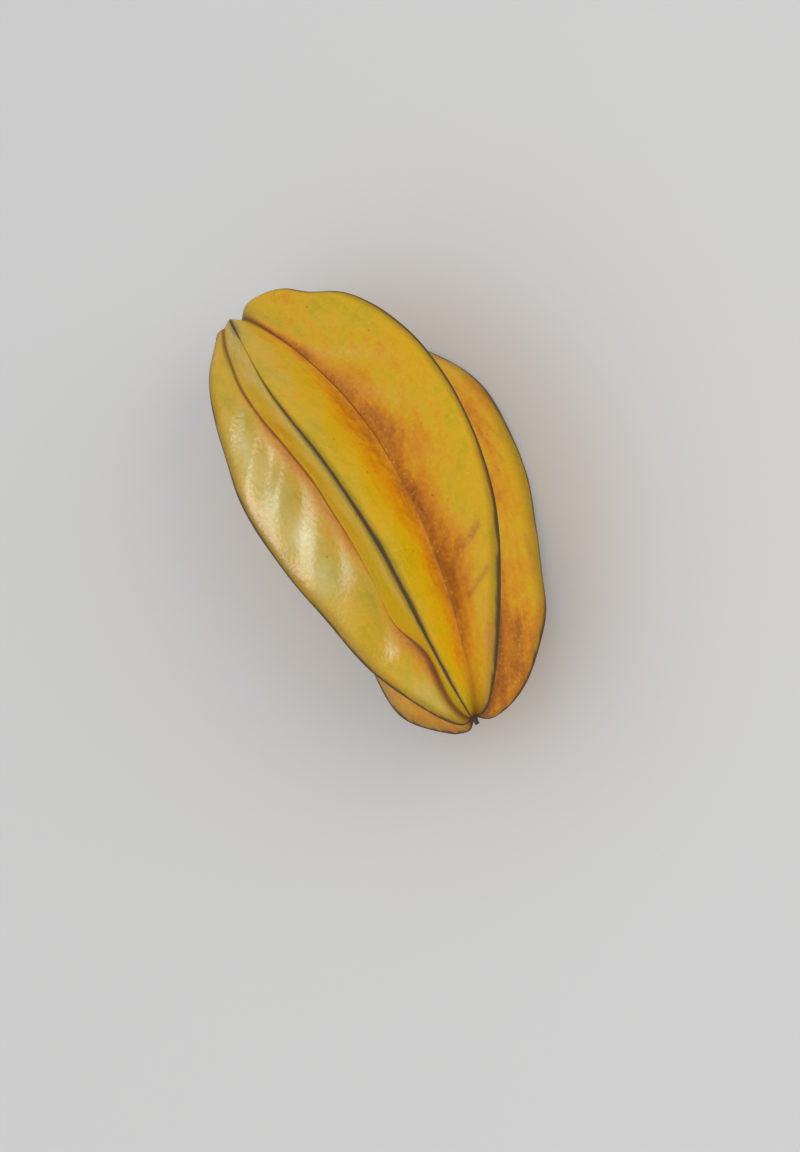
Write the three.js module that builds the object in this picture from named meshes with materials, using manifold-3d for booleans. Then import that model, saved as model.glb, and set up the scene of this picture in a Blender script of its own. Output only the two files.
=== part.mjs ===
// A ripe star fruit (carambola), lying on two of its five ribs. Millimetres, +Z up.
// X runs along the fruit from its stem end to its apex, and the origin is on the
// surface it rests on, under the middle of its box.
//
// The fruit is one solid. At each end a small dry piece sits in a socket: the corky
// scar where the stalk came away, and the withered style at the apex.

import * as THREE from 'three';
import { mergeVertices } from 'three/addons/utils/BufferGeometryUtils.js';
import Module from 'manifold-3d';

const wasm = await Module();
wasm.setup();

// ---- Driving dimensions -------------------------------------------------------

const length = 118; // from pole to pole, along the axis
const axisBow = 8.4; // how far the axis swings out sideways at mid length
const bowTowards = 105; // the way it swings, in degrees round the axis from straight up

// The ribs, in order round the fruit. angle: degrees round the axis from straight up,
// towards +Y. height: how far the ridge stands off the axis at mid length. taper: above 0
// the ridge is higher towards the apex, below 0 towards the stem. ends: above 0 the two
// ends are blunt shoulders, below 0 they are drawn in. swells: [mm, place, spread] added
// to the height, with place and spread as a share of the length. leans: [degrees, place,
// spread] added to the angle.
const ribs = [
  // the side rib, to the left of the top one
  {
    angle: -68, height: 27.9, taper: -0.17, ends: -0.45,
    swells: [[-1, 0.04, 0.04], [-0.7, 0.26, 0.08], [1.8, 0.82, 0.12]], leans: [],
  },
  // the top rib
  {
    angle: 1, height: 28, taper: -0.1, ends: -0.73,
    swells: [[2, 0.86, 0.1]], leans: [[-6, 0.25, 0.22], [1, 0.8, 0.2]],
  },
  // the broad rib, to the right of the top one
  {
    angle: 72, height: 28.4, taper: -0.3, ends: -0.07,
    swells: [[-2, 0.09, 0.04], [1.6, 0.7, 0.14]], leans: [],
  },
  // the right foot
  {
    angle: 139, height: 32.1, taper: -0.12, ends: 0.16,
    swells: [[2.7, 0.34, 0.14], [1.4, 0.55, 0.1], [0.8, 0.83, 0.05]], leans: [[-12, 0.36, 0.24]],
  },
  // the left foot
  {
    angle: 232, height: 37, taper: -0.13, ends: -0.5,
    swells: [[5, 0.84, 0.12]], leans: [[8, 0.84, 0.18]],
  },
];

// The valley after each rib. angle: as for a rib. radius: how far its floor is from the
// axis at mid length. swells and leans: as for a rib.
const valleys = [
  {
    angle: -33, radius: 18, swells: [[-3.7, 0.46, 0.2]],
    leans: [[-7, 0.17, 0.16], [-11, 0.76, 0.05], [10, 0.866, 0.05], [-16, 0.96, 0.05]],
  },
  { angle: 36, radius: 12.9, swells: [], leans: [[6.4, 0.9, 0.23]] },
  { angle: 103, radius: 14.1, swells: [], leans: [] },
  { angle: 183, radius: 14.6, swells: [], leans: [] },
  { angle: 261, radius: 15.1, swells: [], leans: [] },
];
const valleyTaper = -0.28;
const valleyEnds = -0.53;

const edgeRoundness = 0.34; // how blunt the ridges are, as a share of the rib's depth
const valleyFillet = 0.17; // half width of the rounded valley floor, in radians
const swellFade = 32; // how quickly the swells fade out towards a pole

// The flanks rise and fall a little over the seed chambers inside.
const chamberPitch = 14;
const chamberBulge = 0.3;

// The pits at the two poles: a hollow of this depth and radius round the axis.
const stemPit = { depth: 4.5, radius: 3 };
const apexPit = { depth: 2, radius: 2.2 };

// How the fruit settles on its two feet: it rolls a little about X, and its apex lifts.
const restRoll = -1.25; // degrees
const apexLift = 3.65; // degrees
const floorFlat = 0.4; // how much of the feet is pressed flat where the fruit rests

const seatGap = 0.3; // between a dry piece and its socket
const scarSeat = 1.2; // how deep each dry piece goes into the flesh
const styleSeat = 1.6;

// Half outlines of the dry pieces: [radius, height], the height measured outwards from
// the bottom of the pit.
const scarOutline = [[0, -scarSeat], [1.4, -scarSeat], [1.5, 0.3], [1.2, 0.8], [0.7, 0.5], [0, 0.5]];
const styleOutline = [[0, -styleSeat], [0.6, -styleSeat], [0.8, 0.1], [0.5, 0.9], [0.45, 1.6], [0, 1.9]];

const segmentsPerFlank = 8;
const ridgeCrowding = 1.5; // above 1, the segments are finer near the ridge
const rowsAlong = 58;
const sidesOfDryPieces = 16;

// ---- The fruit ----------------------------------------------------------------

const radians = THREE.MathUtils.degToRad;

// How a ridge or valley stands off the axis: half an ellipse, 0 at both poles and 1 at
// mid length, made fuller or slimmer towards one end or both.
function rise(t, taper, ends) {
  const x = 2 * t - 1;
  return Math.sqrt(1 - x * x) * Math.exp(taper * x + ends * x * x);
}

function sumOfSwells(swells, t) {
  let sum = 0;
  for (const [size, place, spread] of swells) {
    sum += size * Math.exp(-(((t - place) / spread) ** 2));
  }
  return sum;
}

// Where a ridge or a valley floor is at t: its distance from the axis, and its angle.
function lineAt(t, line, size, taper, ends) {
  const nearPole = Math.min(1, swellFade * t * (1 - t)); // no swell reaches a pole
  return {
    radius: size * rise(t, taper, ends) + nearPole * sumOfSwells(line.swells, t),
    angle: radians(line.angle + sumOfSwells(line.leans, t)),
  };
}

// Turn from a ridge to the valley beside it, in radians, always positive.
function turnBetween(ridge, valley) {
  const turn = Math.abs(ridge.angle - valley.angle);
  return Math.min(turn, 2 * Math.PI - turn);
}

// How fast a flank rises out of its valley, in millimetres per radian of turn.
function steepness(ridge, valley) {
  const turn = turnBetween(ridge, valley);
  const rising = Math.max(ridge.radius * Math.cos(turn) - valley.radius, 0);
  return (valley.radius * rising) / (ridge.radius * Math.sin(turn));
}

// A point of the cross-section at t, as [distance from the axis, angle round it].
// side is -1 or 1 for the flank before or after the ridge, and share runs from 0 on the
// ridge to 1 on the valley floor.
function sectionPoint(t, ribIndex, side, share) {
  const [ridge, opposite] = [ribIndex, (ribIndex + side + ribs.length) % ribs.length].map((index) =>
    lineAt(t, ribs[index], ribs[index].height, ribs[index].taper, ribs[index].ends),
  );
  const between = valleys[(ribIndex + (side < 0 ? ribs.length - 1 : 0)) % valleys.length];
  const valley = lineAt(t, between, between.radius, valleyTaper, valleyEnds);
  const turn = turnBetween(ridge, valley);

  // the flank leaves the ridge at right angles to it, then runs nearly straight
  const down = share ** ridgeCrowding;
  const edge = 2 * edgeRoundness;
  const across = Math.sqrt((down * down + edge * down) / (1 + edge));
  const x = ridge.radius - (ridge.radius - valley.radius * Math.cos(turn)) * down;
  const y = valley.radius * Math.sin(turn) * across;
  const angle = Math.atan2(y, x);

  // the two flanks of a valley meet in a fillet, not in a crease
  const slope = (steepness(ridge, valley) + steepness(opposite, valley)) / 2;
  const toFloor = Math.max(turn - angle, 0);
  const fillet = slope * (Math.hypot(toFloor, valleyFillet) - toFloor);

  const phase = 2 * ribIndex + side; // so that no two flanks are alike
  const wave = Math.sin((2 * Math.PI * length * t) / chamberPitch + phase);
  const bulge = chamberBulge * wave * Math.sin(Math.PI * down) * rise(t, 0, 0);
  return [Math.hypot(x, y) + fillet + bulge, ridge.angle + side * angle];
}

function surfacePoint(t, column) {
  const columnsPerRib = 2 * segmentsPerFlank;
  const ribIndex = Math.floor(column / columnsPerRib) % ribs.length;
  const step = (column % columnsPerRib) - segmentsPerFlank;
  const side = step < 0 ? -1 : 1;
  const [radius, angle] = sectionPoint(t, ribIndex, side, Math.abs(step) / segmentsPerFlank);

  const pit = t < 0.5 ? stemPit : apexPit;
  const inwards = t < 0.5 ? 1 : -1;
  const sunk = pit.depth * Math.exp(-((radius / pit.radius) ** 2));
  const bow = axisBow * Math.sin(Math.PI * t);
  return new THREE.Vector3(
    length * t + inwards * sunk,
    radius * Math.sin(angle) + bow * Math.sin(radians(bowTowards)),
    radius * Math.cos(angle) + bow * Math.cos(radians(bowTowards)),
  );
}

// A sphere's grid of rows and columns, moved out to the fruit's surface.
function fruitSurface() {
  const columns = 2 * segmentsPerFlank * ribs.length;
  const geometry = new THREE.SphereGeometry(1, columns, rowsAlong);
  const position = geometry.attributes.position;
  for (let i = 0; i < position.count; i++) {
    const row = Math.floor(i / (columns + 1));
    const column = (i % (columns + 1)) % columns;
    const t = (1 - Math.cos((Math.PI * row) / rowsAlong)) / 2;
    if (row === 0) {
      position.setXYZ(i, stemPit.depth, 0, 0);
    } else if (row === rowsAlong) {
      position.setXYZ(i, length - apexPit.depth, 0, 0);
    } else {
      position.setXYZ(i, ...surfacePoint(t, column).toArray());
    }
  }
  return geometry;
}

// ---- The dry pieces -----------------------------------------------------------

// Both are turned about the fruit's axis and stand in a pit, facing outwards.
function dryPiece(outline, poleX, outwards) {
  const points = outline.map(([radius, height]) => new THREE.Vector2(radius, height));
  const geometry = new THREE.LatheGeometry(points, sidesOfDryPieces);
  geometry.rotateZ((-outwards * Math.PI) / 2);
  geometry.translate(poleX, 0, 0);
  return geometry;
}

// The socket is a plain round hole that clears the piece all round.
function socket(outline, seat, poleX, outwards) {
  const radius = Math.max(...outline.map((point) => point[0])) + seatGap;
  const depth = seat + seatGap;
  const mouth = 10; // runs well out of the flesh
  const geometry = new THREE.CylinderGeometry(radius, radius, depth + mouth, sidesOfDryPieces);
  geometry.rotateZ(Math.PI / 2);
  geometry.translate(poleX + (outwards * (mouth - depth)) / 2, 0, 0);
  return geometry;
}

// ---- Cutting and laying down --------------------------------------------------

function solidFrom(geometry) {
  const bare = geometry.clone();
  bare.deleteAttribute('normal');
  bare.deleteAttribute('uv');
  const merged = mergeVertices(bare);
  return new wasm.Manifold(
    new wasm.Mesh({
      numProp: 3,
      vertProperties: merged.attributes.position.array,
      triVerts: Uint32Array.from(merged.index.array),
    }),
  );
}

function geometryFrom(solid) {
  const { vertProperties, triVerts } = solid.getMesh();
  const geometry = new THREE.BufferGeometry();
  geometry.setAttribute('position', new THREE.BufferAttribute(vertProperties, 3));
  geometry.setIndex(new THREE.BufferAttribute(triVerts, 1));
  geometry.computeVertexNormals();
  return geometry;
}

const stemPole = stemPit.depth;
const apexPole = length - apexPit.depth;

const fruitBody = fruitSurface();
const scarBody = dryPiece(scarOutline, stemPole, -1);
const styleBody = dryPiece(styleOutline, apexPole, 1);
const scarSocket = socket(scarOutline, scarSeat, stemPole, -1);
const styleSocket = socket(styleOutline, styleSeat, apexPole, 1);

// Tip everything until both feet are down, then bring the box over the origin, with the
// feet just through the surface that the fruit lies on.
const everything = [fruitBody, scarBody, styleBody, scarSocket, styleSocket];
for (const geometry of everything) {
  geometry.rotateX(radians(restRoll));
  geometry.rotateY(-radians(apexLift));
}
const box = new THREE.Box3();
for (const geometry of [fruitBody, scarBody, styleBody]) {
  geometry.computeBoundingBox();
  box.union(geometry.boundingBox);
}
const middle = box.getCenter(new THREE.Vector3());
for (const geometry of everything) {
  geometry.translate(-middle.x, -middle.y, -box.min.z - floorFlat);
}

const underground = new THREE.BoxGeometry(2 * length, 2 * length, length);
underground.translate(0, 0, -length / 2);
const fruitSolid = solidFrom(fruitBody)
  .subtract(solidFrom(underground))
  .subtract(solidFrom(scarSocket))
  .subtract(solidFrom(styleSocket));

// ---- The pieces ---------------------------------------------------------------

const ripeSkin = new THREE.MeshStandardMaterial({ color: '#d3a32b', roughness: 0.4, metalness: 0 });
const dryCork = new THREE.MeshStandardMaterial({ color: '#7a5a34', roughness: 0.9, metalness: 0 });
const witheredStyle = new THREE.MeshStandardMaterial({ color: '#2f2416', roughness: 0.9, metalness: 0 });

function piece(name, geometry, material) {
  const mesh = new THREE.Mesh(geometry, material);
  mesh.name = name;
  return mesh;
}

const starFruit = new THREE.Group();
starFruit.add(
  piece('fruit', geometryFrom(fruitSolid), ripeSkin),
  piece('stalk_scar', scarBody, dryCork),
  piece('style_remnant', styleBody, witheredStyle),
);

export default starFruit;
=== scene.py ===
# A ripe star fruit lying on two of its ribs. The fine skin, the corky scar and the dry
# style stand in for the plain solids fruit, stalk_scar and style_remnant.
import math

import bmesh
import bpy
from mathutils import Matrix, Vector, noise


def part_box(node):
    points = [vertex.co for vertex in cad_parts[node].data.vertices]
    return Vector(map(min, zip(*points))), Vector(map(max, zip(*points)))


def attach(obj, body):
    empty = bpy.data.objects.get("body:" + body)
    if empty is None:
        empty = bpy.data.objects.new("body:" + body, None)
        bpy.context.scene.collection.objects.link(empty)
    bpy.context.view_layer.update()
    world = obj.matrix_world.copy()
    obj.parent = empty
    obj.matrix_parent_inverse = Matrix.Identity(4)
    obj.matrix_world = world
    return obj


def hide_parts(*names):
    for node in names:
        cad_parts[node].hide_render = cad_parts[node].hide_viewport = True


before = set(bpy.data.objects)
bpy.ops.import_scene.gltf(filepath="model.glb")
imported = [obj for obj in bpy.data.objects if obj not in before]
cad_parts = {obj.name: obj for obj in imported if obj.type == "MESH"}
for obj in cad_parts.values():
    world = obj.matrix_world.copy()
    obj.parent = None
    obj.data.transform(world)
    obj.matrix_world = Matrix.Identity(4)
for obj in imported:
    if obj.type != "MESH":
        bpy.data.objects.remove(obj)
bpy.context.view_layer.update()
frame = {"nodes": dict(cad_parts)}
print("frame loaded:", ", ".join(frame["nodes"]))

mm = 0.001  # the scene is in metres


def hexColour(code):
    # sRGB hex to the linear colour that the shaders read
    parts = [int(code[i:i + 2], 16) / 255 for i in (1, 3, 5)]
    return (*(c / 12.92 if c <= 0.04045 else ((c + 0.055) / 1.055) ** 2.4 for c in parts), 1)


def newMaterial(name):
    material = bpy.data.materials.new(name)
    material.use_nodes = True
    material.node_tree.nodes.clear()
    return material


def addNode(material, kind, settings, stops=()):
    # One node. Each setting is an option of the node, a value for an input, or the socket
    # that feeds it. stops are the places and colours of a ramp.
    tree = material.node_tree
    node = tree.nodes.new("ShaderNode" + kind)
    for name, value in settings.items():
        if isinstance(value, bpy.types.NodeSocket):
            tree.links.new(value, node.inputs[name])
        elif isinstance(name, str) and hasattr(node, name):
            setattr(node, name, value)
        else:
            node.inputs[name].default_value = value
    for i, (place, colour) in enumerate(stops):
        element = node.color_ramp.elements[i] if i < 2 else node.color_ramp.elements.new(place)
        element.position = place
        element.color = hexColour(colour)
    return node.outputs


def patternScale(sizeMm):
    # what a texture node's Scale must be for patterns about this wide
    return 1000 / sizeMm


def smooth(low, high, value):
    x = min(1, max(0, (value - low) / (high - low)))
    return x * x * (3 - 2 * x)


def finishPiece(name, bm, material, node):
    mesh = bpy.data.meshes.new(name)
    bmesh.ops.recalc_face_normals(bm, faces=bm.faces)
    bm.to_mesh(mesh)
    bm.free()
    mesh.shade_smooth()
    mesh.materials.append(material)
    piece = bpy.data.objects.new(name, mesh)
    bpy.context.scene.collection.objects.link(piece)
    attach(piece, "root")
    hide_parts(node)
    print(name, "done:", len(mesh.polygons), "faces")


# The fruit. Lengths are in millimetres and angles in degrees. Places along it run from 0 at
# the stem to 1 at the apex, and places down a flank from 0 on the ridge to 1 on the valley
# floor. before and after are the flanks on either side of a ridge.
# swells: (size, place, spread), added to how far a ridge or valley floor is from the axis
# leans: (degrees, place, spread), added to its angle round the axis
# ridgeLine, creaseLine: (width, place, spread) of the brown line along it. The crease lines are partly
# painted shade, widest near the poles, and the broad rib's ridge line near the apex is partly painted
# shade on the foot beside it
# tones: how ripe a flank is on its ridge, face and valley, from 0 green to 1 brown, and how far down it
# the valley's tone starts. The darker valley tone is partly riper skin and partly painted shade
# pale patches, blushes: (place along, place down, spread along, spread down, how pale or how much riper).
# The pale patches are partly pale skin and partly painted highlights; some blushes are painted shade
# beside ridges and near the apex, and one below 0 is painted light in a shaded valley
# rubs: healed scratches, each (one end, other end, width, strength), an end being its
# (distance along, distance from the ridge)
# swells, leans, the pale patches and highlights, the blushes and shading, and rubs may be left out.
fruit = {
    "length": 118,
    "axisBow": 8.4,  # how far the axis swings sideways at mid length
    "bowTowards": 105,  # the way it swings, round the axis from straight up
    "edgeRoundness": 0.34,  # how blunt the ridges are
    "valleyTaper": -0.28,
    "valleyEnds": -0.53,
    "valleyFillet": 0.11,  # how wide the rounded valley floors are, in radians
    "swellFade": 32,  # how quickly the swells fade out towards a pole
    "stemPit": (4.5, 3),  # depth and radius of the hollow at each pole
    "apexPit": (2, 2.2),
    "restRoll": -1.25,  # how the fruit settles on its two feet
    "apexLift": 3.65,
    "chamberPitch": 15,  # soft slanting waves over the seed chambers
    "chamberBulge": 0.24,
    "chamberSlant": 1.1,
    "chamberVariety": 1.6,
    "dentSize": 11,  # shallow dents all over
    "dentDepth": 0.22,
    "segmentsPerFlank": 36,
    "endCrowding": 0.75,  # how far the columns of faces crowd towards ridge and valley
    "rowsAlong": 262,
    "ribs": [
        # the rib on the left, with the pale glossy face. Its pale patches there are partly pale skin and
        # partly painted highlights; its blush at 0.71 is painted light in the valley's shade, and the one
        # at 0.9 painted shade near the apex
        {"angle": -68, "height": 27.9, "taper": -0.17, "ends": -0.45,
         "swells": [(-1, 0.04, 0.04), (-0.7, 0.26, 0.08), (1.8, 0.82, 0.12)],
         "ridgeLine": [(2.3, 0.5, 0.6)],
         "before": {"tones": (0.45, 0.5, 0.7, 0.55), "rubs": [((60, 8.0), (66, 5.5), 0.9, 0.5)]},
         "after": {"tones": (0.39, 0.38, 0.68, 0.6),
                   "paleAndHighlight": [(0.43, 0.42, 0.2, 0.24, 0.42), (0.29, 0.4, 0.05, 0.16, 0.6),
                            (0.43, 0.46, 0.03, 0.16, 0.5), (0.52, 0.45, 0.03, 0.16, 0.7),
                            (0.62, 0.42, 0.03, 0.16, 0.5), (0.92, 0.45, 0.04, 0.2, 0.35)],
                   "blushesAndShading": [(0.82, 0.75, 0.05, 0.2, 0.16), (0.6, 0.4, 0.06, 0.3, -0.08),
                               (0.71, 0.9, 0.06, 0.2, -0.16), (0.9, 0.85, 0.06, 0.14, 0.25)]}},
        # the narrow one on top
        {"angle": 1, "height": 28, "taper": -0.1, "ends": -0.73,
         "swells": [(2, 0.86, 0.1)], "leans": [(-6, 0.25, 0.22), (1, 0.8, 0.2)],
         "ridgeLine": [(1.0, 0.06, 0.04), (0.7, 0.45, 0.2), (1.25, 0.75, 0.22)],
         "before": {"tones": (0.34, 0.4, 0.52, 0.85)},
         "after": {"tones": (0.32, 0.4, 0.72, 0.42), "blushesAndShading": [(0.45, 0.75, 0.2, 0.2, 0.08)]}},
        # the broad one beside it. Its ridge line is widest near the apex, partly as painted shade on the
        # right foot beside it
        {"angle": 72, "height": 28.4, "taper": -0.3, "ends": -0.07,
         "swells": [(-2, 0.09, 0.04), (1.6, 0.7, 0.14)],
         "ridgeLine": [(1.1, 0.3, 0.3), (2.4, 0.9, 0.26)],
         "before": {"tones": (0.35, 0.42, 0.83, 0.45),
                    "blushesAndShading": [(0.06, 0.3, 0.04, 0.3, 0.2), (0.14, 0.35, 0.08, 0.25, -0.08),
                                (0.44, 0.74, 0.05, 0.12, 0.08), (0.5, 0.57, 0.04, 0.12, 0.06),
                                (0.72, 0.7, 0.13, 0.2, 0.17)],
                    "rubs": [((85.8, 9.4), (84.2, 5.2), 0.8, 0.6), ((84.6, 6.6), (83.2, 5.6), 1.1, 0.3),
                             ((94.8, 9.0), (93.0, 3.6), 0.8, 0.6),
                             ((92.0, 10.5), (90.6, 7.5), 1.0, 0.25)]},
         "after": {"tones": (0.4, 0.5, 0.7, 0.6), "paleAndHighlight": [(0.5, 0.5, 0.2, 0.4, 0.2)],
                   "blushesAndShading": [(0.4, 0.4, 0.15, 0.3, 0.1)]}},
        # the right foot. The last two blushes before it are painted shade beside the broad rib's ridge
        # near the apex
        {"angle": 139, "height": 32.1, "taper": -0.12, "ends": 0.16,
         "swells": [(2.7, 0.34, 0.14), (1.4, 0.55, 0.1), (0.8, 0.83, 0.05)], "leans": [(-12, 0.36, 0.24)],
         "ridgeLine": [(3, 0.6, 0.6)],
         "before": {"tones": (0.42, 0.55, 0.82, 0.44),
                    "blushesAndShading": [(0.3, 0.6, 0.12, 0.3, 0.06), (0.64, 0.2, 0.12, 0.3, -0.06),
                                (0.82, 0.72, 0.18, 0.16, 0.26), (0.94, 0.5, 0.09, 0.5, 0.2)],
                    "rubs": [((48, 7.5), (56, 4.0), 0.6, 0.35), ((55, 9.0), (62, 6.0), 0.5, 0.3),
                             ((80, 4.6), (84, 3.4), 0.6, 0.35)]},
         "after": {"tones": (0.4, 0.5, 0.7, 0.6), "paleAndHighlight": [(0.5, 0.5, 0.2, 0.4, 0.2)],
                   "rubs": [((58, 10.0), (61, 16.0), 0.9, 0.5)]}},
        # the left foot. The blush after it is painted shade below the left rib's ridge
        {"angle": 232, "height": 37, "taper": -0.13, "ends": -0.5,
         "swells": [(5, 0.84, 0.12)], "leans": [(8, 0.84, 0.18)],
         "ridgeLine": [(3, 0.6, 0.6)],
         "before": {"tones": (0.4, 0.5, 0.7, 0.55), "blushesAndShading": [(0.5, 0.5, 0.2, 0.3, 0.12)],
                    "rubs": [((40, 9.0), (43, 15.0), 0.9, 0.5), ((72, 12.0), (79, 10.0), 0.7, 0.4)]},
         "after": {"tones": (0.46, 0.56, 0.78, 0.48), "blushesAndShading": [(0.86, 0.66, 0.1, 0.16, 0.24)]}},
    ],
    # the valley after each rib. Their crease lines are partly painted shade, widest near the poles; the
    # first one's widens near the apex as painted shade under the narrow rib's end
    "valleys": [
        {"angle": -33, "radius": 18, "swells": [(-3.7, 0.46, 0.2)],
         "leans": [(-7, 0.17, 0.16), (-11, 0.76, 0.05), (10, 0.866, 0.05), (-16, 0.96, 0.05)],
         "creaseLine": [(1.7, 0, 0.2), (0.7, 0.4, 0.2), (2.4, 0.91, 0.09)]},
        {"angle": 36, "radius": 12.9, "leans": [(6.4, 0.9, 0.23)],
         "creaseLine": [(2.2, 0, 0.11), (0.35, 0.3, 0.2)]},
        {"angle": 103, "radius": 14.1, "creaseLine": [(1.8, 0, 0.1), (1.0, 0.5, 0.4), (1.5, 1, 0.15)]},
        {"angle": 183, "radius": 14.6, "creaseLine": [(1.8, 0, 0.1), (1.0, 0.5, 0.4), (1.5, 1, 0.15)]},
        {"angle": 261, "radius": 15.1, "creaseLine": [(1.8, 0, 0.1), (1.0, 0.5, 0.4), (1.5, 1, 0.15)]},
    ],
    "thinnestLine": 0.05,
    # the pits' brown is partly painted shade in the hollows at the poles
    "pitBrowningAndShade": 3.6,  # how far from the axis the pits are brown
    "greenerStem": 0.1,  # how much less ripe the stem end is
    "ripening": [(0.0, "#868a09"), (0.22, "#bfa507"), (0.42, "#dbad06"), (0.6, "#db9002"),
                 (0.8, "#b66a04"), (1.0, "#7c4404")],
    # how wide each pattern is, and how much it varies the ripeness
    "mottling": {"blotch": (12, 0.42), "streak": (2.2, 0.32), "vein": (2.6, 0.28), "grain": (0.9, 0.32)},
    "veinSlant": 52,
    # the pale patches are partly painted highlights
    "unripePaleAndHighlight": 0.25,  # how much less ripe the pale patches are
    # what is laid over that, in this order: its colour, and how much it covers at most
    "marks": {
        # pale skin, and partly painted highlights on the left rib's glossy face
        "paleAndHighlight": ("#f0e6ac", 1),
        "pore": ("#e6c23c", 0.35),
        "speck": ("#5f3c12", 0.6),
        "rub": ("#a25a12", 1),
        "halo": ("#6a340c", 0.45),  # the soft brown beside a ridge's line
        # the crease and pit browns are partly painted shade in the valley floors and the hollows at the
        # poles
        "crease": ("#6a340c", 0.85),
        "pit": ("#6a340c", 0.8),
        "ridge": ("#2a2410", 0.9),
    },
    "poreMm": 1.2,
    "speckMm": 3.2,  # a speck may sit in each cell of this width
    "speckShare": 0.16,  # and does in this share of them
    "roughness": 0.25,
    "roughnessVariety": 0.14,
    "wornRoughness": 0.3,  # how much rougher ridges, rubs and valley floors are
    "bumpDepth": 0.09,
    "glow": 0.12,  # how much light goes into the flesh
    "fleshDepth": 2.5,  # and how far
}


def sumOfSwells(swells, t):
    # soft bumps along the fruit, added up
    return sum(size * math.exp(-((t - place) / spread) ** 2) for size, place, spread in swells)


def rise(t, taper, ends):
    # half an ellipse, 0 at both ends and 1 at mid length. taper makes the apex end fuller, and
    # ends makes both ends fuller, or slimmer where they are below 0.
    x = 2 * t - 1
    return math.sqrt(max(0, 1 - x * x)) * math.exp(taper * x + ends * x * x)


def lineAt(t, line, size, taper, ends):
    # where a ridge or a valley floor is: how far from the axis, and its angle round it
    nearPole = min(1, fruit["swellFade"] * t * (1 - t))
    radius = size * rise(t, taper, ends) + nearPole * sumOfSwells(line.get("swells", ()), t)
    return radius, math.radians(line["angle"] + sumOfSwells(line.get("leans", ()), t))


def crossSection(t):
    # every ridge and every valley floor at one place along the fruit
    ridgeLines = [lineAt(t, rib, rib["height"], rib["taper"], rib["ends"]) for rib in fruit["ribs"]]
    taper, ends = fruit["valleyTaper"], fruit["valleyEnds"]
    valleyLines = [lineAt(t, valley, valley["radius"], taper, ends) for valley in fruit["valleys"]]
    return ridgeLines, valleyLines


def turnBetween(ridge, valley):
    # in radians, always positive
    turn = abs(ridge[1] - valley[1])
    return min(turn, 2 * math.pi - turn)


def steepness(ridge, valley):
    # how fast a flank rises out of its valley, in millimetres per radian
    turn = turnBetween(ridge, valley)
    rising = max(ridge[0] * math.cos(turn) - valley[0], 0)
    return valley[0] * rising / (ridge[0] * math.sin(turn))


def sectionPoint(section, t, ribIndex, side, share):
    # a point of a flank: its distance from the axis, its angle, and how far it is from the
    # ridge and from the valley floor
    ridge, opposite = section[0][ribIndex], section[0][(ribIndex + side) % len(fruit["ribs"])]
    valley = section[1][ribIndex if side > 0 else ribIndex - 1]
    turn = turnBetween(ridge, valley)
    down = share + (smooth(0, 1, share) - share) * fruit["endCrowding"]
    edge = 2 * fruit["edgeRoundness"]
    across = math.sqrt((down * down + edge * down) / (1 + edge))
    x = ridge[0] - (ridge[0] - valley[0] * math.cos(turn)) * down
    y = valley[0] * math.sin(turn) * across
    angle = math.atan2(y, x)
    fromRidge = math.hypot(ridge[0] - x, y)
    fromValley = math.hypot(x - valley[0] * math.cos(turn), y - valley[0] * math.sin(turn))

    slope = (steepness(ridge, valley) + steepness(opposite, valley)) / 2
    toFloor = max(turn - angle, 0)
    fillet = slope * (math.hypot(toFloor, fruit["valleyFillet"]) - toFloor)

    # soft waves over the seed chambers, no two alike
    phase = 2 * ribIndex + side
    waveMm = fruit["length"] * t + fruit["chamberSlant"] * fromRidge
    wave = math.sin(2 * math.pi * waveMm / fruit["chamberPitch"] + phase)
    wave *= 1 + fruit["chamberVariety"] * noise.noise(Vector((6 * t, 3 * phase, down)))
    bulge = fruit["chamberBulge"] * wave * math.sin(math.pi * down) * rise(t, 0, 0)
    return math.hypot(x, y) + fillet + bulge, ridge[1] + side * angle, fromRidge, fromValley


def surfacePoint(t, radius, angle):
    depth, pitRadius = fruit["stemPit"] if t < 0.5 else fruit["apexPit"]
    inwards = 1 if t < 0.5 else -1
    sunk = depth * math.exp(-(radius / pitRadius) ** 2)
    bow = fruit["axisBow"] * math.sin(math.pi * t)
    towards = math.radians(fruit["bowTowards"])
    return Vector((
        fruit["length"] * t + inwards * sunk,
        radius * math.sin(angle) + bow * math.sin(towards),
        radius * math.cos(angle) + bow * math.cos(towards),
    ))


def patchesAt(patches, t, share):
    # soft round patches on a flank, added up
    return sum(amount * math.exp(-((t - place) / placeSpread) ** 2 - ((share - down) / downSpread) ** 2)
               for place, down, placeSpread, downSpread, amount in patches)


def toneAt(flank, t, share):
    # how ripe the skin is, before its patterns: the valley's tone narrows towards the stem and fades
    # towards the apex. The darker valley tone is partly painted shade, and the blushes added at the end
    # hold painted shade and light too
    ridgeTone, faceTone, valleyToneAndShade, reach = flank["tones"]
    reach += (0.9 - reach) * 0.7 * smooth(0.4, 0.1, t)
    tone = ridgeTone + (faceTone - ridgeTone) * smooth(0.02, 0.4, share)
    tone += (valleyToneAndShade - faceTone) * smooth(reach, 1, share) * (1 - 0.7 * smooth(0.8, 0.96, t))
    tone -= fruit["greenerStem"] * smooth(0.2, 0, t)
    return tone + patchesAt(flank.get("blushesAndShading", ()), t, share)


def rubAt(flank, alongMm, fromRidge):
    # how strong the healed scratches are, soft to both sides of each
    strength = 0
    here = Vector((alongMm, fromRidge))
    for start, end, width, amount in flank.get("rubs", ()):
        start, end = Vector(start), Vector(end)
        way = end - start
        part = min(1, max(0, (here - start).dot(way) / way.length_squared))
        gap = (here - start - way * part).length
        strength += amount * math.exp(-(gap / width) ** 2)
    return strength


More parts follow.
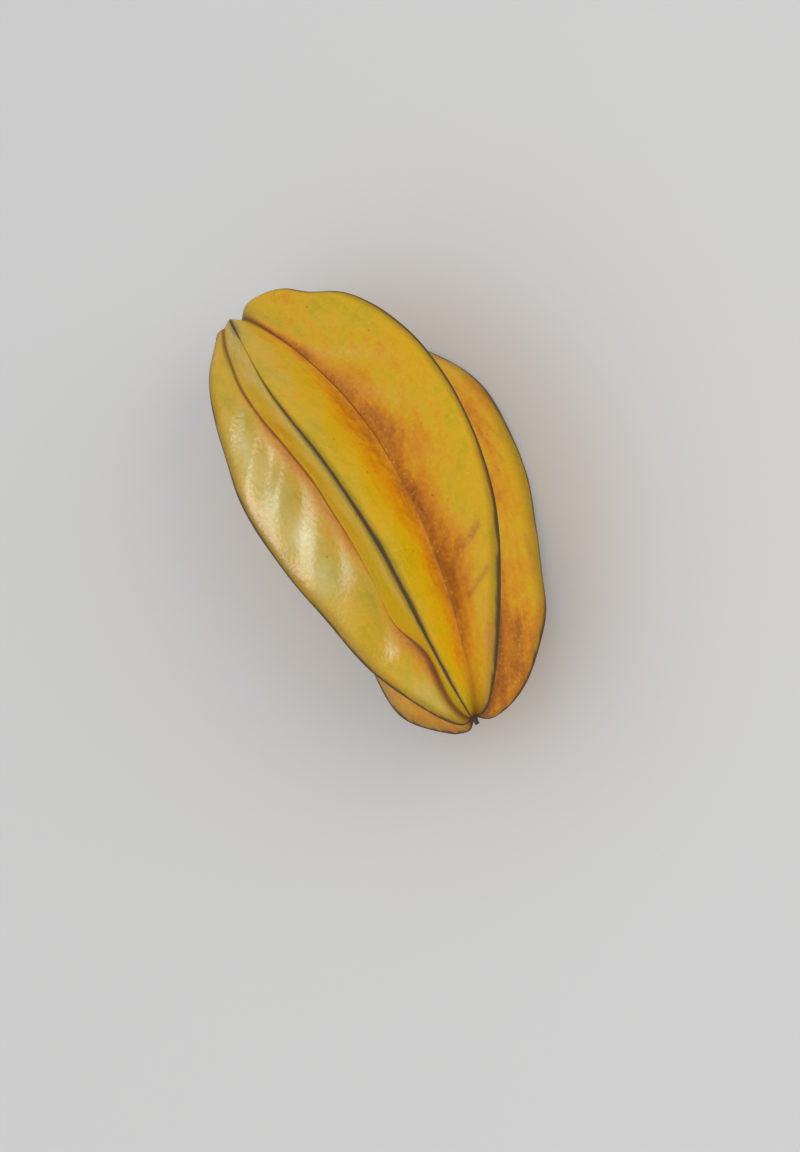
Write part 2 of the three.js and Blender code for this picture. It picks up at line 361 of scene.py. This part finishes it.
# what the skin's material reads from its mesh
skinReads = ("ripeness", "paleAndHighlight", "fromRidgeLine", "fromCreaseLine", "fromValleyMm", "rub", "pit")


def patternPlace(alongMm, fromValley, side, valleyIndex):
    # Where a flank's streaks and veins are looked up. The two flanks of a valley meet on its
    # floor and part from there, so that patterns run on across it and aren't mirrored. Each
    # valley is set well away from the next.
    apart = 60 * valleyIndex + 0.6 * side * fromValley
    return Vector((alongMm, fromValley, apart)) * mm


def growFruit(material):
    # A sphere's rows and columns are moved onto the fruit, one column at each ridge and valley.
    ribs, valleys = fruit["ribs"], fruit["valleys"]
    perFlank, rows = fruit["segmentsPerFlank"], fruit["rowsAlong"]
    columns = 2 * perFlank * len(ribs)
    bm = bmesh.new()
    bmesh.ops.create_uvsphere(bm, u_segments=columns, v_segments=rows, radius=1)
    layers = [bm.verts.layers.float.new(name) for name in skinReads]
    flankPlace = bm.verts.layers.float_vector.new("flankPlace")
    places = [(1 - math.cos(math.pi * row / rows)) / 2 for row in range(rows + 1)]
    sections = {t: crossSection(t) for t in places[1:-1]}
    for vert in bm.verts:
        row = round(math.acos(max(-1, min(1, vert.co.z))) / math.pi * rows)
        t = places[row]
        column = round(math.atan2(vert.co.y, vert.co.x) / (2 * math.pi) * columns) % columns
        ribIndex = column // (2 * perFlank)
        step = column % (2 * perFlank) - perFlank
        side = -1 if step < 0 else 1
        share = abs(step) / perFlank
        if 0 < row < rows:
            radius, angle, fromRidge, fromValley = sectionPoint(sections[t], t, ribIndex, side, share)
        else:
            radius, angle, fromRidge, fromValley = 0, 0, 0, 0
        vert.co = surfacePoint(t, radius, angle)
        if radius > 0:
            dent = noise.noise(vert.co / fruit["dentSize"]) * fruit["dentDepth"] * min(1, 8 * t * (1 - t))
            vert.co += (vert.co - surfacePoint(t, 0, 0)).normalized() * dent

        rib = ribs[ribIndex]
        flank = rib["before"] if side < 0 else rib["after"]
        valleyIndex = ribIndex if side > 0 else (ribIndex - 1) % len(ribs)
        ridgeWidth = max(fruit["thinnestLine"], sumOfSwells(rib["ridgeLine"], t))
        creaseWidth = max(fruit["thinnestLine"], sumOfSwells(valleys[valleyIndex]["creaseLine"], t))
        alongMm = fruit["length"] * t
        values = (
            toneAt(flank, t, share),
            patchesAt(flank.get("paleAndHighlight", ()), t, share),
            fromRidge / ridgeWidth,
            fromValley / creaseWidth,
            fromValley,
            rubAt(flank, alongMm, fromRidge),
            math.exp(-(radius / fruit["pitBrowningAndShade"]) ** 2),
        )
        for layer, value in zip(layers, values):
            vert[layer] = value
        vert[flankPlace] = patternPlace(alongMm, fromValley, side, valleyIndex)

    bmesh.ops.transform(bm, matrix=settle, verts=bm.verts)
    shift = layDown(bm)
    finishPiece("skin", bm, material, "fruit")
    return Matrix.Translation(shift) @ Matrix.Scale(mm, 4) @ settle


def layDown(bm):
    # To metres, and to where the solid fruit lies, with both feet pressed flat on the floor.
    low = Vector(min(v.co[i] for v in bm.verts) for i in range(3))
    high = Vector(max(v.co[i] for v in bm.verts) for i in range(3))
    cadLow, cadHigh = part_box("fruit")
    shift = Vector((
        (cadLow.x + cadHigh.x) / 2 - (low.x + high.x) / 2 * mm,
        (cadLow.y + cadHigh.y) / 2 - (low.y + high.y) / 2 * mm,
        cadHigh.z - high.z * mm,
    ))
    for vert in bm.verts:
        vert.co = vert.co * mm + shift
        vert.co.z = max(vert.co.z, 0)
    return shift


def skinPatterns(skin, place):
    # Blotches and grain lie every way, streaks run along the ribs, and veins run slantwise
    # from the core up to the ridges.
    onFlank = addNode(skin, "Attribute", {"attribute_name": "flankPlace"})["Vector"]
    along = addNode(skin, "Mapping", {"Scale": (0.12, 1, 1), "Vector": onFlank})[0]
    turn = (0, 0, math.radians(fruit["veinSlant"]))
    slanted = addNode(skin, "Mapping", {"Rotation": turn, "Vector": onFlank})[0]
    slanted = addNode(skin, "Mapping", {"Scale": (0.1, 1, 1), "Vector": slanted})[0]
    patterns = {}
    for name, vector in (("blotch", place), ("streak", along), ("vein", slanted), ("grain", place)):
        scale = patternScale(fruit["mottling"][name][0])
        patterns[name] = addNode(skin, "TexNoise", {"Scale": scale, "Detail": 3, "Vector": vector})[0]
    return patterns


def skinMarks(skin, place, read, patterns, pores):
    # how much each mark covers the skin
    marks = {}
    # pale patches, partly painted highlights, broken up by the blotches
    blotchy = addNode(skin, "MapRange", {"Value": patterns["blotch"], "From Min": 0.2,
                                         "From Max": 0.65})[0]
    marks["paleAndHighlight"] = addNode(skin, "Math", {"operation": "MULTIPLY", 0: read["paleAndHighlight"], 1: blotchy})[0]
    marks["pore"] = addNode(skin, "MapRange", {"Value": pores, "From Min": 0.24, "From Max": 0.1})[0]

    cells = addNode(skin, "TexVoronoi", {"Scale": patternScale(fruit["speckMm"]), "Vector": place})
    chosen = addNode(skin, "SeparateColor", {"Color": cells["Color"]})[0]
    chosen = addNode(skin, "Math", {"operation": "GREATER_THAN", 0: chosen,
                                    1: 1 - fruit["speckShare"]})[0]
    speck = addNode(skin, "MapRange", {"Value": cells["Distance"], "From Min": 0.11, "From Max": 0.04})[0]
    marks["speck"] = addNode(skin, "Math", {"operation": "MULTIPLY", 0: speck, 1: chosen})[0]

    grainy = addNode(skin, "MapRange", {"Value": patterns["grain"], "From Min": 0.35, "From Max": 0.6,
                                        "To Min": 0.5})[0]
    marks["rub"] = addNode(skin, "Math", {"operation": "MULTIPLY", 0: read["rub"], 1: grainy})[0]
    # the pits' brown: partly painted shade in the hollows at the poles
    marks["pit"] = read["pit"]

    # The lines along ridges and creases are full at the inner distance and gone at the outer, in widths
    # of the line. A ridge's line is unevenly wide. The crease lines, and the broad rib's ridge line near
    # the apex, are partly painted shade.
    width = addNode(skin, "MapRange", {"Value": patterns["streak"], "From Min": 0.35, "From Max": 0.65,
                                       "To Min": 0.4, "To Max": 0.9})[0]
    unevenly = addNode(skin, "Math", {"operation": "DIVIDE", 0: read["fromRidgeLine"], 1: width})[0]
    for name, distance, inner, outer in (("halo", read["fromRidgeLine"], 0.4, 1.9),
                                         ("crease", read["fromCreaseLine"], 0.0, 1.0),
                                         ("ridge", unevenly, 0.25, 1.0)):
        marks[name] = addNode(skin, "MapRange", {
            "interpolation_type": "SMOOTHSTEP", "Value": distance, "From Min": outer, "From Max": inner,
        })[0]
    for name, (_, cover) in fruit["marks"].items():
        marks[name] = addNode(skin, "Math", {"operation": "MULTIPLY", 0: marks[name], 1: cover})[0]
    return marks


def makeSkin():
    # Carambola skin: a thin waxy cuticle over wet flesh. It is glossy and glows a little, runs from olive
    # through gold to amber in the valleys, and browns along its ridges first. The darker valleys, creases
    # and pits are partly painted shade, and the pale patches are partly painted highlights.
    skin = newMaterial("carambolaSkin")
    place = addNode(skin, "TexCoord", {})["Object"]
    read = {name: addNode(skin, "Attribute", {"attribute_name": name})["Fac"] for name in skinReads}
    scale = patternScale(fruit["poreMm"])
    pores = addNode(skin, "TexVoronoi", {"Scale": scale, "Vector": place})["Distance"]
    patterns = skinPatterns(skin, place)
    marks = skinMarks(skin, place, read, patterns, pores)

    tone = read["ripeness"]
    for name, pattern in patterns.items():
        amount = fruit["mottling"][name][1]
        offset = addNode(skin, "Math", {"operation": "SUBTRACT", 0: pattern, 1: 0.5})[0]
        tone = addNode(skin, "Math", {"operation": "MULTIPLY_ADD", 0: offset, 1: amount, 2: tone})[0]
    # the pale patches and painted highlights make the tone less ripe
    tone = addNode(skin, "Math", {"operation": "MULTIPLY_ADD", 0: marks["paleAndHighlight"], 1: -fruit["unripePaleAndHighlight"],
                                  2: tone})[0]
    colour = addNode(skin, "ValToRGB", {"Fac": tone}, fruit["ripening"])[0]
    for name, (tint, _) in fruit["marks"].items():
        settings = {"data_type": "RGBA", 0: marks[name], 6: colour, 7: hexColour(tint)}
        colour = addNode(skin, "Mix", settings)[2]

    # ridges, rubs and valley floors are dull
    valleyFloor = addNode(skin, "MapRange", {
        "interpolation_type": "SMOOTHSTEP", "Value": read["fromValleyMm"],
        "From Min": 4.5, "From Max": 0.5,
    })[0]
    worn = addNode(skin, "Math", {"operation": "MAXIMUM", 0: marks["ridge"], 1: marks["rub"]})[0]
    worn = addNode(skin, "Math", {"operation": "MAXIMUM", 0: worn, 1: valleyFloor})[0]
    variety = fruit["roughnessVariety"]
    roughness = addNode(skin, "Math", {"operation": "MULTIPLY_ADD", 0: patterns["grain"], 1: variety,
                                       2: fruit["roughness"] - variety / 2})[0]
    roughness = addNode(skin, "Math", {"operation": "MULTIPLY_ADD", 0: worn, 1: fruit["wornRoughness"],
                                       2: roughness})[0]
    height = addNode(skin, "Math", {"operation": "MULTIPLY_ADD", 0: pores, 1: 0.6,
                                    2: patterns["grain"]})[0]
    bump = addNode(skin, "Bump", {"Strength": 0.5, "Distance": fruit["bumpDepth"] * mm,
                                  "Height": height})[0]
    shader = addNode(skin, "BsdfPrincipled", {
        "Base Color": colour, "Roughness": roughness, "IOR": 1.37, "Normal": bump,
        "Subsurface Weight": fruit["glow"], "Subsurface Scale": fruit["fleshDepth"] * mm,
        "Subsurface Radius": (1.0, 0.7, 0.2),
    })[0]
    addNode(skin, "OutputMaterial", {"Surface": shader})
    return skin


settle = (Matrix.Rotation(-math.radians(fruit["apexLift"]), 4, "Y")
          @ Matrix.Rotation(math.radians(fruit["restRoll"]), 4, "X"))
growthPlace = growFruit(makeSkin())  # from the fruit's own millimetres to its place in the scene


# The two dry pieces are spun from an outline, then lobed and roughened. The outline runs
# from the inner end to the outer one as (how far out from the pit's floor, radius), in
# millimetres.
scar = {
    "outline": [(-1.2, 0), (-1.2, 1.3), (-1.0, 1.4), (0.3, 1.5), (0.65, 1.42), (0.8, 1.2), (0.72, 1.0),
                (0.5, 0.75), (0.42, 0.5), (0.55, 0.28), (0.5, 0)],
    "lobes": 9,
    "lobeDepth": 0.05,
    "twist": 0,
    "raggedness": 0.09,
    "ragSize": 0.5,
    "ragSeed": 7,  # not 0, which takes the seed from the clock
    "colours": [(0.3, "#4b3a1e"), (0.55, "#86683a"), (0.75, "#b39763")],
    "grainMm": 0.45,
    "bumpDepth": 0.1,
    "roughness": 0.9,
}
style = {
    "outline": [(-1.6, 0), (-1.6, 0.55), (-0.2, 0.7), (0.1, 0.8), (0.5, 0.62), (0.9, 0.5), (1.3, 0.44),
                (1.6, 0.5), (1.82, 0.4), (1.75, 0.15), (1.7, 0)],
    "lobes": 5,  # one for each of the five styles that have dried together
    "lobeDepth": 0.14,
    "twist": 50,  # degrees in each millimetre of its length
    "raggedness": 0.06,
    "ragSize": 0.5,
    "ragSeed": 7,
    "colours": [(0.3, "#1f180c"), (0.6, "#46351c"), (0.85, "#77602f")],
    "grainMm": 0.3,
    "bumpDepth": 0.1,
    "roughness": 0.75,
}


def growDryPiece(name, settings, pole, outwards, material, node):
    # outwards is the way out of the fruit along its axis, -1 or 1
    bm = bmesh.new()
    outline = [bm.verts.new((outwards * out, 0, radius)) for out, radius in settings["outline"]]
    edges = [bm.edges.new(ends) for ends in zip(outline, outline[1:])]
    bmesh.ops.subdivide_edges(bm, edges=edges, cuts=3)
    bmesh.ops.spin(bm, geom=bm.verts[:] + bm.edges[:], cent=(0, 0, 0), axis=(1, 0, 0),
                   angle=2 * math.pi, steps=60, use_merge=True)
    bmesh.ops.remove_doubles(bm, verts=bm.verts, dist=0.001)
    noise.seed_set(settings["ragSeed"])
    for vert in bm.verts:
        out = outwards * vert.co.x
        angle = math.atan2(vert.co.y, vert.co.z) + math.radians(settings["twist"] * out)
        vert.co.yz *= 1 + settings["lobeDepth"] * math.cos(settings["lobes"] * angle)
        if out > 0:
            vert.co += noise.noise_vector(vert.co / settings["ragSize"]) * settings["raggedness"]
    bmesh.ops.transform(bm, matrix=growthPlace @ Matrix.Translation(pole), verts=bm.verts)
    finishPiece(name, bm, material, node)


def makeDry(name, settings):
    dry = newMaterial(name)
    place = addNode(dry, "TexCoord", {})["Object"]
    scale = patternScale(settings["grainMm"])
    grain = addNode(dry, "TexNoise", {"Scale": scale, "Detail": 5, "Vector": place})[0]
    colour = addNode(dry, "ValToRGB", {"Fac": grain}, settings["colours"])[0]
    bump = addNode(dry, "Bump", {"Strength": 0.8, "Distance": settings["bumpDepth"] * mm,
                                 "Height": grain})[0]
    shader = addNode(dry, "BsdfPrincipled", {"Base Color": colour, "Roughness": settings["roughness"],
                                             "IOR": 1.5, "Normal": bump})[0]
    addNode(dry, "OutputMaterial", {"Surface": shader})
    return dry


# cork is a dead pale brown, dull and crumbly; the style is leathery and nearly black
growDryPiece("scar", scar, surfacePoint(0, 0, 0), -1, makeDry("driedCork", scar),
             "stalk_scar")
growDryPiece("style", style, surfacePoint(1, 0, 0), 1, makeDry("witheredStyle", style),
             "style_remnant")


# The floor, light and camera. Each softbox is the way it lies from the fruit, how far, how
# wide, its power in watts, and whether it lights the scene or only glints in the skin.
studio = {
    "floorSize": 3,
    "floorTone": "#dadada",
    "skyStrength": 0.68,
    "softboxes": {
        "keyBox": ((0.1, -0.6, 0.8), 1.3, 1.2, 1.9, True),
        "glintBox": ((-0.5, -0.48, 0.72), 0.8, 0.24, 1.8, False),
        "fillBox": ((0.356, 0.753, 0.554), 0.9, 0.7, 2.1, True),
    },
    "cameraStands": (0.31648, 0.18146, 0.67812),
    "cameraLooksAt": (0.01532, -0.0073, 0.01749),
    "cameraRoll": -67.8,
    "lens": 107.3,
}


def layFloor():
    bm = bmesh.new()
    bmesh.ops.create_grid(bm, x_segments=1, y_segments=1, size=studio["floorSize"])
    mesh = bpy.data.meshes.new("floor")
    bm.to_mesh(mesh)
    bm.free()
    floor = bpy.data.objects.new("floor", mesh)
    bpy.context.scene.collection.objects.link(floor)
    card = newMaterial("matteCard")  # dull, so that only the fruit shines
    tone = hexColour(studio["floorTone"])
    shader = addNode(card, "BsdfPrincipled", {"Base Color": tone, "Roughness": 0.9})[0]
    addNode(card, "OutputMaterial", {"Surface": shader})
    mesh.materials.append(card)


def hangLights():
    world = bpy.data.worlds.new("softRoom")
    world.use_nodes = True
    sky = world.node_tree.nodes["Background"].inputs
    sky["Color"].default_value = (1, 1, 1, 1)
    sky["Strength"].default_value = studio["skyStrength"]
    bpy.context.scene.world = world

    for name, (towards, distance, size, power, lightsScene) in studio["softboxes"].items():
        lamp = bpy.data.lights.new(name, "AREA")
        lamp.shape = "DISK"
        lamp.size = size
        lamp.energy = power
        softbox = bpy.data.objects.new(name, lamp)
        softbox.location = Vector(towards).normalized() * distance
        softbox.rotation_euler = Vector(towards).to_track_quat("Z", "Y").to_euler()
        softbox.visible_diffuse = lightsScene
        bpy.context.scene.collection.objects.link(softbox)


def placeCamera():
    scene = bpy.context.scene
    lens = bpy.data.cameras.new("camera")
    lens.lens = studio["lens"]
    lens.clip_start = 0.05
    camera = bpy.data.objects.new("camera", lens)
    stands, target = Vector(studio["cameraStands"]), Vector(studio["cameraLooksAt"])
    camera.location = stands
    aim = (stands - target).to_track_quat("Z", "Y")
    roll = Matrix.Rotation(math.radians(studio["cameraRoll"]), 4, "Z")
    camera.rotation_euler = (aim.to_matrix().to_4x4() @ roll).to_euler()
    scene.collection.objects.link(camera)
    scene.camera = camera
    scene.view_settings.view_transform = "Standard"


layFloor()
hangLights()
placeCamera()
print("studio ready")
